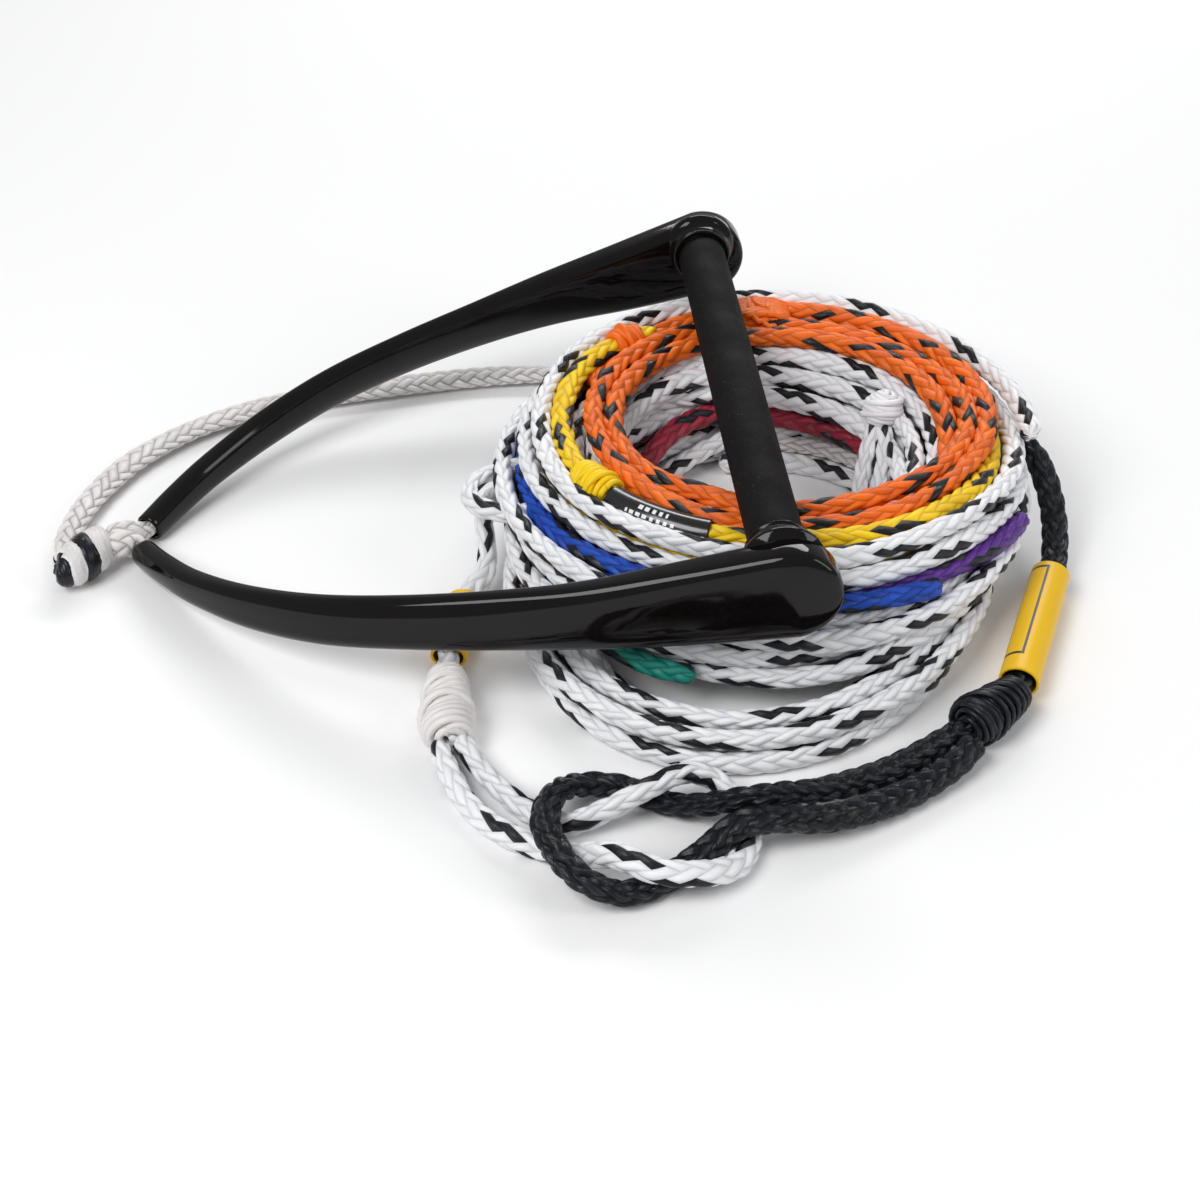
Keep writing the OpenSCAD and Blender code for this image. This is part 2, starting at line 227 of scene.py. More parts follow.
def lay_coil():
    """The middle line of each section in the coil: turns pushed apart until they only touch."""
    rng = np.random.default_rng(12)
    parts, first = {}, 0
    number, angle, target = [], [], []
    for name in SECTIONS:
        n, a, t = section_samples(name, rng)
        number.append(n)
        angle.append(a)
        target.append(adjust_targets(name, a, t))
        parts[name] = (first, first + len(n))
        first += len(n)
    number, angle, target = (np.concatenate(x) for x in (number, angle, target))
    rows = [np.flatnonzero(number % STATIONS == k) for k in range(STATIONS)]
    width = max(map(len, rows))
    index = np.full((STATIONS, width), -1)
    for k, row in enumerate(rows):
        index[k, :len(row)] = row
    real = index >= 0
    pair = real[:, :, None] & real[:, None, :] & ~np.eye(width, dtype=bool)
    inner = np.ones(len(number), bool)
    for a, b in parts.values():
        inner[[a, b - 1]] = False
    inner = np.flatnonzero(inner)
    place = target.copy()
    for _ in range(SETTLE_ROUNDS):
        q = place[index]
        gap = q[:, :, None] - q[:, None]
        far = np.linalg.norm(gap, axis=3) + 1e-6
        push = np.where(pair, np.clip(ROPE_GAP - far, 0, None), 0) / far
        move = (gap * push[..., None]).sum(2) * PUSH
        np.add.at(place, index[real], move[real])
        shift = place - target
        place[inner] += STIFFNESS * (shift[inner - 1] + shift[inner + 1] - 2 * shift[inner])
        place += HOLD * (target - place)
        place[:, 1] = np.clip(place[:, 1], FLOOR_Z, TOP_Z)
    lines = {}
    for name, (a, b) in parts.items():
        r, z, t = place[a:b, 0], place[a:b, 1], angle[a:b]
        lines[name] = np.stack([COIL_AXIS[0] + r * np.cos(t), COIL_AXIS[1] + r * np.sin(t), z], 1)
    return lines


def curve_through(points, step):
    """Evenly spaced points on a smooth curve through the given points."""
    p = padded_ends(np.asarray(points, float))
    t = np.linspace(0, 1, 12, endpoint=False)[:, None]
    out = [catmull_rom(*corners, t) for corners in zip(p[:-3], p[1:-2], p[2:-1], p[3:])]
    return spaced(np.concatenate(out + [p[-2:-1]]), step)


def padded_ends(values):
    """The values with one more at each end, in line with the last two."""
    return np.concatenate([[2 * values[0] - values[1]], values, [2 * values[-1] - values[-2]]])


def catmull_rom(a, b, c, d, t):
    return 0.5 * (2 * b + (c - a) * t + (2 * a - 5 * b + 4 * c - d) * t ** 2
                  + (3 * b - a - 3 * c + d) * t ** 3)


def distances(line):
    """How far along the line each of its points is."""
    return np.concatenate([[0], np.cumsum(np.linalg.norm(np.diff(line, axis=0), axis=1))])


def spaced(line, step):
    along = distances(line)
    at = np.linspace(0, along[-1], max(2, round(along[-1] / step) + 1))
    return np.stack([np.interp(at, along, line[:, k]) for k in range(3)], 1)


def cut(line, length):
    """The first part of a line, of the given length."""
    return line[distances(line) <= length]


def eased(line, rounds):
    for _ in range(rounds):
        line[1:-1] += 0.25 * (line[:-2] + line[2:] - 2 * line[1:-1])
    return line


# ---- mesh helpers ----

def new_mesh(name, points, faces, material_index=None, smooth=True):
    """A mesh object from points in metres; its faces are an array of quads, or a list of mixed ones."""
    mesh = bpy.data.meshes.new(name)
    if isinstance(faces, np.ndarray):
        count, sides = faces.shape
        mesh.vertices.add(len(points))
        mesh.vertices.foreach_set("co", np.asarray(points, np.float32).ravel())
        mesh.loops.add(count * sides)
        mesh.loops.foreach_set("vertex_index", faces.astype(np.int32).ravel())
        mesh.polygons.add(count)
        mesh.polygons.foreach_set("loop_start", np.arange(count, dtype=np.int32) * sides)
        mesh.update(calc_edges=True)
    else:
        mesh.from_pydata([tuple(p) for p in points], [], faces)
    if smooth:
        mesh.polygons.foreach_set("use_smooth", np.ones(len(mesh.polygons), bool))
    if material_index is not None:
        mesh.polygons.foreach_set("material_index", np.asarray(material_index, np.int32))
    mesh.validate()
    mesh.update()
    obj = bpy.data.objects.new(name, mesh)
    bpy.context.scene.collection.objects.link(obj)
    return obj


def frames_along(line):
    """Tangent, side and normal at each point of a line; the side stays level."""
    t = np.gradient(line, axis=0)
    t /= np.linalg.norm(t, axis=1)[:, None]
    side = np.cross((0, 0, 1), t)
    side /= np.linalg.norm(side, axis=1)[:, None]
    return t, side, np.cross(t, side)


def round_end(s, total, reach):
    """Scale of a section near the two ends of a rope, so that it closes as a dome."""
    e = np.clip(np.minimum(s, total - s) / reach, 0.02, 1)
    return np.sqrt(1 - (1 - e) ** 2)


STRANDS = 6                # strands each way round the braid
PITCH = 74                 # length in mm in which a strand goes once round
LOOSENESS = 0.10           # how far a strand strays, in strand widths
GROUND = 0.2               # cords lie flat on the ground at this height in mm


def braid(name, line, wide, thin, materials, lean=0.0, detail=3, relief=1.15, tracers=((0, 1), ()),
          seed=0, pitch=PITCH, sway=1.0, end_reach=5.0):
    """A hollow-braided rope along a line in millimetres: twelve strands, each over two and under two.

    wide and thin are each one number, or a list of them spread along the rope.
    """
    rng = np.random.default_rng(seed)
    n = STRANDS * detail
    step = pitch / (2 * n)
    line = eased(spaced(line, step), 2)
    rings, total = len(line), step * (len(line) - 1)
    s = np.arange(rings) * step
    ahead, side, up = frames_along(line)
    slow, quick = (size * np.sin(s / wave + rng.uniform(0, 6)) for size, wave in ((0.35, 47), (0.2, 19)))
    turn = lean + sway * (slow + quick)
    wide, thin = (np.interp(s, np.linspace(0, total, np.size(w)), np.atleast_1d(w))[:, None]
                  for w in (wide, thin))
    m, c = np.meshgrid(np.arange(rings), np.arange(n), indexing="ij")
    q = 2 * c + m % 2
    a, b = (q + m) / (2 * detail), (q - m) / (2 * detail)
    height = weave_height(a, b)
    da, db = slack(a, b, rng), slack(b, a, rng)
    phi = (q + detail * (da + db)) * math.pi / n
    drift = detail * (da - db) * step * np.minimum(1, np.minimum(m, rings - 1 - m) / (2 * detail))
    fade = round_end(s, total, end_reach)[:, None]
    rx = (wide / 2 - relief + relief * height) * fade
    ry = (thin / 2 - relief + relief * height) * fade
    x, y = rx * np.cos(phi), ry * np.sin(phi)
    ct, st = np.cos(turn)[:, None], np.sin(turn)[:, None]
    x, y = x * ct - y * st, x * st + y * ct
    points = (line[:, None] + side[:, None] * x[..., None] + up[:, None] * y[..., None]
              + ahead[:, None] * drift[..., None])
    points[..., 2] = np.maximum(points[..., 2], GROUND)
    # Faces are the lattice's own squares, so the strands' edges are the mesh's edges
    m, c = np.meshgrid(np.arange(rings - 2), np.arange(n), indexing="ij")
    q = 2 * c + m % 2
    corner_m = np.stack([m, m + 1, m + 2, m + 1], -1).reshape(-1, 4)
    corner_q = np.stack([q, q + 1, q, q - 1], -1).reshape(-1, 4)
    faces = corner_m * n + (corner_q // 2) % n
    middle_q, middle_m = q.ravel(), m.ravel() + 1
    ia = np.floor((middle_q + middle_m) / (2 * detail)).astype(int)
    ib = np.floor((middle_q - middle_m) / (2 * detail)).astype(int)
    first = (ia + ib) % 4 < 2
    strand = np.where(first, ib % STRANDS, ia % STRANDS)
    traced = np.isin(strand, tracers[0]) & first | np.isin(strand, tracers[1]) & ~first
    obj = new_mesh(name, points.reshape(-1, 3) * MM, faces, traced.astype(np.int32))
    close_ends(obj, rings, n)
    tints = rng.uniform(0, 1, (2, STRANDS))
    add_rope_layers(obj, corner_m, corner_q, ia, ib, first, tints, strand, detail, n, total)
    for material in materials:
        obj.data.materials.append(material)
    return obj, line * MM


def slack(a, b, rng):
    """How far the edges between strands stray from an even lattice, in strand widths."""
    p, q, r = rng.uniform(0, 2 * math.pi, 3)
    turn = 2 * math.pi / STRANDS
    sideways = np.sin(turn * 2 * a + p + 0.7 * b) + np.sin(turn * a - 0.45 * b + q)
    return LOOSENESS * sideways * np.sin(0.31 * b + r)


def weave_height(a, b):
    """Height of the braid's surface, 0 in the grooves to 1 on top of a strand."""
    ia, ib = np.floor(a + 1e-6).astype(int), np.floor(b + 1e-6).astype(int)
    first = (ia + ib) % 4 < 2
    across = np.where(first, b - ib, a - ia)
    start = np.where(first, (ia + ib) % 4, (ia + ib) % 4 - 2)
    along = np.where(first, a - ia, b - ib) + start
    crown = np.sqrt(np.clip(1 - (2 * across - 1) ** 2, 0, 1))
    rise = np.sqrt(np.clip(1 - (np.clip(np.abs(along - 1), 0, 1)) ** 2.6, 0, 1))
    return crown * rise


def close_ends(obj, rings, n):
    """Fills the two ends of a braid: the teeth of the lattice, and a cap."""
    bm = bmesh.new()
    bm.from_mesh(obj.data)
    bm.verts.ensure_lookup_table()
    for ring, other in ((0, 1), (rings - 1, rings - 2)):
        row = [bm.verts[ring * n + c] for c in range(n)]
        for c in range(n):
            apex = bm.verts[other * n + (c + ring % 2) % n]
            ends = [row[c], row[(c + 1) % n]]
            bm.faces.new([ends[0], ends[1], apex] if ring else [ends[1], ends[0], apex])
        bm.faces.new(row[::-1] if ring == 0 else row)
    bmesh.ops.recalc_face_normals(bm, faces=bm.faces)
    for f in bm.faces:
        f.smooth = True
    bm.to_mesh(obj.data)
    bm.free()


def add_rope_layers(obj, corner_m, corner_q, ia, ib, first, tints, strand, detail, n, total):
    """Strand coordinates, a tint for each strand, and an unwrapped strip layout."""
    mesh = obj.data
    faces, loops = len(mesh.polygons), len(mesh.loops)
    body = len(corner_m)
    a, b = (corner_q + corner_m) / (2 * detail), (corner_q - corner_m) / (2 * detail)
    lattice = np.full((loops, 2), 0.5, np.float32)
    over = np.where(first, (ia + ib) % 4, (ia + ib) % 4 - 2)
    block = np.where(first, (ia - over) * 7 + ib * 13, ia * 7 + (ib - over) * 13) % 16 * 4
    along = np.where(first[:, None], a - ia[:, None], b - ib[:, None]) + (over + block)[:, None]
    lattice[:body * 4, 0] = along.ravel()
    lattice[:body * 4, 1] = np.where(first[:, None], b, a).ravel()
    layer = mesh.uv_layers.new(name="strand")
    layer.data.foreach_set("uv", lattice.ravel())
    strips = max(1, round(math.sqrt(total / 42)))
    rows = corner_m.max() / strips + 1
    strip = np.minimum(corner_m[:, 0] // rows, strips - 1)[:, None]
    sheet = np.full((loops, 2), 0.001, np.float32)
    sheet[:body * 4, 0] = (0.01 + 0.98 * (corner_m - strip * rows) / (rows + 2)).ravel()
    sheet[:body * 4, 1] = ((strip + 0.04 + 0.92 * (corner_q + 1) / (2 * n + 2)) / strips).ravel()
    layer = mesh.uv_layers.new(name="OFBake")
    layer.data.foreach_set("uv", sheet.ravel())
    mesh.uv_layers.active_index = 1
    tint = np.full(faces, 0.5, np.float32)
    tint[:body] = tints[(~first).astype(int), strand]
    layer = mesh.attributes.new("tint", "FLOAT", "FACE")
    layer.data.foreach_set("value", tint)


def tube_arrays(line, radius, sides):
    """Points, faces and caps of a round strand along a line in millimetres."""
    rings = len(line)
    t = np.gradient(line, axis=0)
    t /= np.linalg.norm(t, axis=1)[:, None]
    side = np.cross(t, [0.31, 0.17, 0.93])
    for i in range(1, rings):
        side[i] = side[i - 1] - t[i] * (side[i - 1] @ t[i])
        side[i] /= np.linalg.norm(side[i])
    side[0] /= np.linalg.norm(side[0])
    up = np.cross(t, side)
    phi = np.arange(sides) * 2 * math.pi / sides
    points = (line[:, None] + side[:, None] * (radius * np.cos(phi))[:, None]
              + up[:, None] * (radius * np.sin(phi))[:, None]).reshape(-1, 3)
    i, k = np.meshgrid(np.arange(rings - 1), np.arange(sides), indexing="ij")
    faces = np.stack([i * sides + k, i * sides + (k + 1) % sides,
                      (i + 1) * sides + (k + 1) % sides, (i + 1) * sides + k], -1).reshape(-1, 4)
    caps = [list(range(sides))[::-1], list(range((rings - 1) * sides, rings * sides))]
    return points, faces, caps


def strands_object(name, lines, radius, material, sides=10):
    """One piece from several strands, with coordinates along and across each strand."""
    points, faces, coords, base = [], [], [], 0
    for line in lines:
        p, f, caps = tube_arrays(line, radius, sides)
        p[:, 2] = np.maximum(p[:, 2], GROUND)
        along = np.linspace(0.7, 1.3, len(line))
        for face in f.tolist():
            faces.append([v + base for v in face])
            ring = [v // sides for v in face]
            around = [v % sides for v in face]
            if max(around) - min(around) > 1:
                around = [a + sides if a == 0 else a for a in around]
            coords += [(along[r], 0.25 + abs(a / sides - 0.5)) for r, a in zip(ring, around)]
        for cap in caps:
            faces.append([v + base for v in cap])
            coords += [(0, 0)] * sides
        points.append(p)
        base += len(p)
    obj = new_mesh(name, np.concatenate(points) * MM, faces)
    layer = obj.data.uv_layers.new(name="strand")
    layer.data.foreach_set("uv", np.array(coords, np.float32).ravel())
    layer = obj.data.attributes.new("tint", "FLOAT", "FACE")
    layer.data.foreach_set("value", np.full(len(faces), 0.7, np.float32))
    obj.data.materials.append(material)
    return obj


def winding(core, radii, turns, phase=0.0, wobble=0.0, seed=0, tilt=0.0):
    """A helix of cord round a core line, in millimetres.

    The radii are spread along it, and tilt is how far each turn leans along the core.
    """
    rng = np.random.default_rng(seed)
    count = max(24, int(abs(turns) * 22))
    f = np.linspace(0, 1, count)
    along = np.linspace(0, 1, len(core))
    centre = np.stack([np.interp(f, along, core[:, k]) for k in range(3)], 1)
    ahead, side, up = frames_along(centre)
    a = 2 * math.pi * turns * f + phase
    tilt = tilt * np.minimum(1, 4 * np.minimum(f, 1 - f))
    r = np.interp(f, np.linspace(0, 1, len(radii)), radii)
    r = r + wobble * np.sin(2 * math.pi * 2.3 * f * turns + rng.uniform(0, 6))
    return (centre + side * (r * np.cos(a))[:, None] + up * (r * np.sin(a))[:, None]
            + ahead * (tilt * np.sin(a + 0.6 * seed))[:, None])


def straight(a, b, count=12):
    return np.linspace(a, b, count)


# ---- materials ----

def new_material(name):
    m = bpy.data.materials.new(name)
    m.use_nodes = True
    nodes = m.node_tree.nodes
    return m, nodes, m.node_tree.links, nodes["Principled BSDF"]


def math_node(nodes, links, operation, *values):
    n = nodes.new("ShaderNodeMath")
    n.operation = operation
    for socket, value in zip(n.inputs, values):
        if isinstance(value, (int, float)):
            socket.default_value = value
        else:
            links.new(value, socket)
    return n.outputs[0]


def mixed(nodes, links, factor, a, b):
    n = nodes.new("ShaderNodeMix")
    n.data_type = "RGBA"
    links.new(factor, n.inputs["Factor"])
    for socket, value in ((n.inputs["A"], a), (n.inputs["B"], b)):
        if isinstance(value, tuple):
            socket.default_value = (*value, 1)
        else:
            links.new(value, socket)
    return n.outputs["Result"]


def noise(nodes, links, vector, scale, detail=3.0, roughness=0.5):
    n = nodes.new("ShaderNodeTexNoise")
    n.inputs["Scale"].default_value = scale
    n.inputs["Detail"].default_value = detail
    n.inputs["Roughness"].default_value = roughness
    links.new(vector, n.inputs["Vector"])
    return n.outputs["Fac"]


def bump(nodes, links, height, strength, distance, shader):
    n = nodes.new("ShaderNodeBump")
    n.inputs["Strength"].default_value = strength
    n.inputs["Distance"].default_value = distance
    links.new(height, n.inputs["Height"])
    links.new(n.outputs["Normal"], shader.inputs["Normal"])


def as_range(nodes, links, value, low, high):
    n = nodes.new("ShaderNodeMapRange")
    links.new(value, n.inputs["Value"])
    n.inputs["To Min"].default_value, n.inputs["To Max"].default_value = low, high
    return n.outputs["Result"]


def fibre_material(name, colour, shade, roughness=0.4, glow=0.0, groove_shade=0.55, gloss=0.5):
    """Bundles of polymer filaments: fine lines along each strand, and painted shade that darkens each strand
    towards its edges and ends, in the grooves between the strands.
    """
    m, nodes, links, shader = new_material(name)
    uv = nodes.new("ShaderNodeUVMap")
    uv.uv_map = "strand"
    split = nodes.new("ShaderNodeSeparateXYZ")
    links.new(uv.outputs["UV"], split.inputs[0])
    stretch = nodes.new("ShaderNodeVectorMath")
    stretch.operation = "MULTIPLY"
    stretch.inputs[1].default_value = (0.5, 9.0, 1.0)
    links.new(uv.outputs["UV"], stretch.inputs[0])
    lines = noise(nodes, links, stretch.outputs[0], 1.6, 2.0, 0.6)
    tint = nodes.new("ShaderNodeAttribute")
    tint.attribute_name = "tint"
    edge, end = (from_middle(nodes, links, value) for value in (
        split.outputs["Y"], math_node(nodes, links, "MULTIPLY", split.outputs["X"], 0.5)))
    crown = math_node(nodes, links, "SUBTRACT", 1.0, math_node(nodes, links, "POWER", edge, 2.4))
    dip = math_node(nodes, links, "SUBTRACT", 1.0, math_node(nodes, links, "POWER", end, 5.0))
    rounded = math_node(nodes, links, "MULTIPLY", crown, dip)
    # Painted shade: a mask that darkens the colour towards each strand's edges and ends, where the grooves
    # between strands lie
    edge = math_node(nodes, links, "MAXIMUM", math_node(nodes, links, "POWER", edge, 7.0),
                     math_node(nodes, links, "POWER", end, 9.0))
    edge = math_node(nodes, links, "MULTIPLY", edge, groove_shade)
    level = math_node(nodes, links, "MULTIPLY_ADD", tint.outputs["Fac"], 0.45,
                      math_node(nodes, links, "MULTIPLY", lines, 0.75))
    level = math_node(nodes, links, "MINIMUM", level, 1.0)
    body = mixed(nodes, links, level, shade, colour)
    # Painted shade colour for the grooves: the darker tone at 30 %
    painted_groove_shade = tuple(c * 0.30 for c in shade)
    links.new(mixed(nodes, links, edge, body, painted_groove_shade), shader.inputs["Base Color"])
    links.new(as_range(nodes, links, lines, roughness - 0.08, roughness + 0.14), shader.inputs["Roughness"])
    shader.inputs["Specular IOR Level"].default_value = gloss
    shader.inputs["Subsurface Weight"].default_value = glow
    shader.inputs["Subsurface Radius"].default_value = (1.0, 0.9, 0.8)
    shader.inputs["Subsurface Scale"].default_value = 0.003
    height = math_node(nodes, links, "MULTIPLY_ADD", lines, 0.35, rounded)
    bump(nodes, links, height, 0.6, 0.0014, shader)
    return m


def from_middle(nodes, links, value):
    """0 in the middle of each whole unit of a value, 1 at its two ends."""
    part = math_node(nodes, links, "FRACT", value)
    return math_node(nodes, links, "ABSOLUTE", math_node(nodes, links, "MULTIPLY_ADD", part, 2.0, -1.0))


def solid_material(name, colour, shade, roughness, scale, strength, coat=0.0, metal=0.0, speck=0.0,
                   gloss=0.5):
    """Moulded, foamed or metal surface: uneven tone, fine grain and slight wear."""
    m, nodes, links, shader = new_material(name)
    place = nodes.new("ShaderNodeTexCoord").outputs["Object"]
    broad = noise(nodes, links, place, 45.0, 4.0)
    fine = noise(nodes, links, place, scale, 3.0, 0.6)
    body = mixed(nodes, links, broad, shade, colour)
    if speck:
        spot = math_node(nodes, links, "GREATER_THAN", noise(nodes, links, place, scale * 0.8, 1.0), 0.73)
        spot = math_node(nodes, links, "MULTIPLY", spot, speck)
        body = mixed(nodes, links, spot, body, (0.35, 0.35, 0.36))
    links.new(body, shader.inputs["Base Color"])
    links.new(as_range(nodes, links, broad, roughness * 0.7, roughness * 1.3), shader.inputs["Roughness"])
    shader.inputs["Specular IOR Level"].default_value = gloss
    shader.inputs["Coat Weight"].default_value = coat
    shader.inputs["Coat Roughness"].default_value = 0.03
    shader.inputs["Metallic"].default_value = metal
    bump(nodes, links, fine, strength, 0.0004, shader)
    return m


# Ropes: name, colour of the strands' tops, a darker tone that is mixed in at random and, darkened further, is
# painted as shade at the strands' sides in the grooves, roughness, and what differs
ROPE_LOOKS = {
    "tracer": ("tracer_black", (0.010, 0.011, 0.014), (0.003, 0.003, 0.004), 0.3, {"gloss": 0.35}),
    "white": ("rope_white", (0.93, 0.93, 0.94), (0.74, 0.75, 0.79), 0.38, {"glow": 0.2, "groove_shade": 0.35}),
    "plain": ("rope_plain_white", (0.84, 0.81, 0.79), (0.58, 0.55, 0.54), 0.38, {"glow": 0.2, "groove_shade": 0.8}),
    "black": ("rope_black", (0.010, 0.012, 0.018), (0.001, 0.001, 0.002), 0.26,
              {"groove_shade": 0.8, "gloss": 0.3}),
    "red": ("rope_red", (0.42, 0.012, 0.045), (0.16, 0.004, 0.016), 0.4, {"glow": 0.1}),
    "green": ("rope_green", (0.0, 0.36, 0.27), (0.0, 0.13, 0.10), 0.4, {"glow": 0.1}),
    "violet": ("rope_violet", (0.13, 0.02, 0.34), (0.045, 0.006, 0.13), 0.4, {"glow": 0.1}),
    "blue": ("rope_blue", (0.012, 0.09, 0.55), (0.003, 0.028, 0.24), 0.4, {"glow": 0.1, "gloss": 0.35}),
    "yellow": ("rope_yellow", (1.0, 0.70, 0.005), (0.76, 0.42, 0.0), 0.38,
               {"glow": 0.15, "groove_shade": 0.5, "gloss": 0.35}),
    "orange": ("rope_orange", (1.0, 0.19, 0.006), (0.60, 0.08, 0.002), 0.38,
               {"glow": 0.15, "groove_shade": 0.5, "gloss": 0.35}),
}
ROPES = {key: fibre_material(*look, **extra) for key, (*look, extra) in ROPE_LOOKS.items()}
TRACER = ROPES["tracer"]
# Others: name, colour, shade, roughness, scale of the grain, its strength
ARM_BLACK = solid_material("arm_gloss_black", (0.006, 0.005, 0.005), (0.003, 0.002, 0.002), 0.06, 900, 0.02,
                           gloss=0.26)
FOAM = solid_material("grip_foam_black", (0.004, 0.004, 0.005), (0.002, 0.002, 0.003), 0.7, 1500, 0.5,
                      speck=0.2, gloss=0.12)
METAL = solid_material("bar_metal", (0.78, 0.79, 0.80), (0.66, 0.67, 0.69), 0.32, 700, 0.05, metal=1.0)
PLUG = solid_material("plug_black", (0.05, 0.05, 0.05), (0.03, 0.03, 0.03), 0.5, 600, 0.2)
SLEEVE = solid_material("sleeve_yellow", (0.86, 0.53, 0.006), (0.78, 0.44, 0.004), 0.45, 500, 0.06,
                        coat=0.05, gloss=0.35)
LABEL = solid_material("label_black", (0.012, 0.012, 0.013), (0.006, 0.006, 0.007), 0.22, 500, 0.05, coat=0.3)
PRINT_WHITE = solid_material("print_white", (0.85, 0.85, 0.85), (0.75, 0.75, 0.76), 0.35, 500, 0.03)
PRINT_BLACK = solid_material("print_black", (0.03, 0.03, 0.03), (0.02, 0.02, 0.02), 0.4, 500, 0.03)
BRIDLE_BRAID = solid_material("bridle_braid", (0.85, 0.85, 0.82), (0.66, 0.66, 0.64), 0.7, 400, 0.5)

# ---- ropes ----

ROPE_WIDE, ROPE_THIN, ROPE_D = 13.4, 11.2, 12.0 * MM
# Width of the handle rope, spread along it: flattest at its first bend
HANDLE_WIDE = [13, 18, 20, 19, 17, 15, 13.5] + [13] * 9
# Which strands are black: those that wind one way, and those that wind the other way
NO_TRACER, TWO_SIDE_BY_SIDE, ONE_EACH_WAY = ((), ()), ((0, 1), ()), ((2,), (4,))
COIL = lay_coil()


def declare(obj, nodes):
    """Puts a rope on the rope body and hides the CAD nodes that it stands in for."""
    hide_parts(*nodes)
    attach(obj, "rope")


def coil_rope(section, colour, length, nodes, tracers, slot=None, before=None, lay="coiled", diameter=ROPE_D,
              **shape):
    """A coiled section, with a free stretch before it where it has one, cut to its real length."""
    line = COIL[section]
    if before is not None:
        line = np.concatenate([np.array(before, float), line[2:]])
    line = cut(curve_through(line, 1.0), length * 1000)
    look = {"wide": ROPE_WIDE, "thin": ROPE_THIN, "lean": 0.4 if section in ("orange", "yellow") else 1.1,
            "seed": sorted(SECTIONS).index(section), **shape}
    obj, path = braid("rope_" + section, line, materials=[ROPES[colour], TRACER], tracers=tracers, **look)
    declare(obj, nodes)
    return path


def free_rope(name, colour, route, wide, thin, nodes, tracers, diameter, **shape):
    """A rope that isn't coiled at all."""
    obj, path = braid(name, curve_through(route, 1.0), wide, thin, [ROPES[colour], TRACER], tracers=tracers,
                      **shape)
    declare(obj, nodes)


coil_rope("handle", "plain", 1.50, ["handle_rope", "coil_handle_turn"], NO_TRACER, "handle_rope",
          HANDLE_ROUTE, "loose", 13 * MM, wide=HANDLE_WIDE, thin=9.4, lean=0.0, sway=0.3,
          pitch=62, detail=4, relief=1.5)
coil_rope("main", "white", 8.75, ["coil_white_base", "coil_white_rim"], TWO_SIDE_BY_SIDE)
coil_rope("short", "white", 0.50, ["coil_white_short"], TWO_SIDE_BY_SIDE)
coil_rope("violet", "violet", 0.50, ["coil_violet"], TWO_SIDE_BY_SIDE)
coil_rope("blue", "blue", 0.75, ["coil_blue"], TWO_SIDE_BY_SIDE)
coil_rope("green", "green", 1.00, ["coil_green"], TWO_SIDE_BY_SIDE)
YELLOW_PATH = coil_rope("yellow", "yellow", 1.25, ["coil_yellow"], TWO_SIDE_BY_SIDE)
ORANGE_PATH = coil_rope("orange", "orange", 1.75, ["coil_orange"], ONE_EACH_WAY)
coil_rope("red", "red", 2.25, ["coil_red"], TWO_SIDE_BY_SIDE)
coil_rope("long", "white", 4.75, ["coil_white_long", "tow_rope"], TWO_SIDE_BY_SIDE, before=TOW_ROUTE[::-1],
          lay="loose")
free_rope("rope_boat", "black", BOAT_ROUTE, 15.2, 12.4, ["boat_rope"], NO_TRACER, 13.5 * MM,
          lean=0.2, seed=31, pitch=66, detail=4, relief=1.8)
free_rope("rope_takeoff_loop", "white", TAKEOFF_ROUTE, 11.6, 10.0, ["takeoff_loop"], TWO_SIDE_BY_SIDE,
          11 * MM, lean=0.6, seed=32)


def on_rope(obj, slot, *nodes):
    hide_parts(*nodes)
    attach(obj, "rope")
    return obj


RING_CENTRE = (187, -1)    # about the middle of the coil's upper turns


def stretch(path, first, last, low_z):
    """The part of a coiled rope between two angles and above a height, in mm, in order of angle."""
    p = path / MM
    angle = np.degrees(np.arctan2(p[:, 1] - RING_CENTRE[1], p[:, 0] - RING_CENTRE[0])) % 360
    keep = (angle >= first) & (angle <= last) & (p[:, 2] > low_z)
    p, angle = p[keep], angle[keep]
    return p[np.argsort(angle)]


# ---- wraps, sleeves and knots ----

def wrap_piece(name, core, radii, cord_r, material, seed, top_turns=5, tilt=3.0):
    """Twine wound round a rope: two close layers that lean opposite ways, and a few turns on top."""
    length = np.linalg.norm(np.diff(core, axis=0), axis=1).sum()
    turns = length / (1.85 * cord_r)
    lower = winding(core, [r - cord_r * 1.3 for r in radii], turns, 1.3, 0.1, seed, tilt * 0.5)
    middle = winding(core, radii, turns * 1.05, 0.0, 0.2, seed + 1, -tilt * 0.6)
    top = winding(core, [r + cord_r * 0.9 * (0.3 < i / len(radii) < 0.8) for i, r in enumerate(radii)],
                  top_turns, 2.0, 0.2, seed + 2, tilt)
    return strands_object(name, [lower, middle, top], cord_r, material)


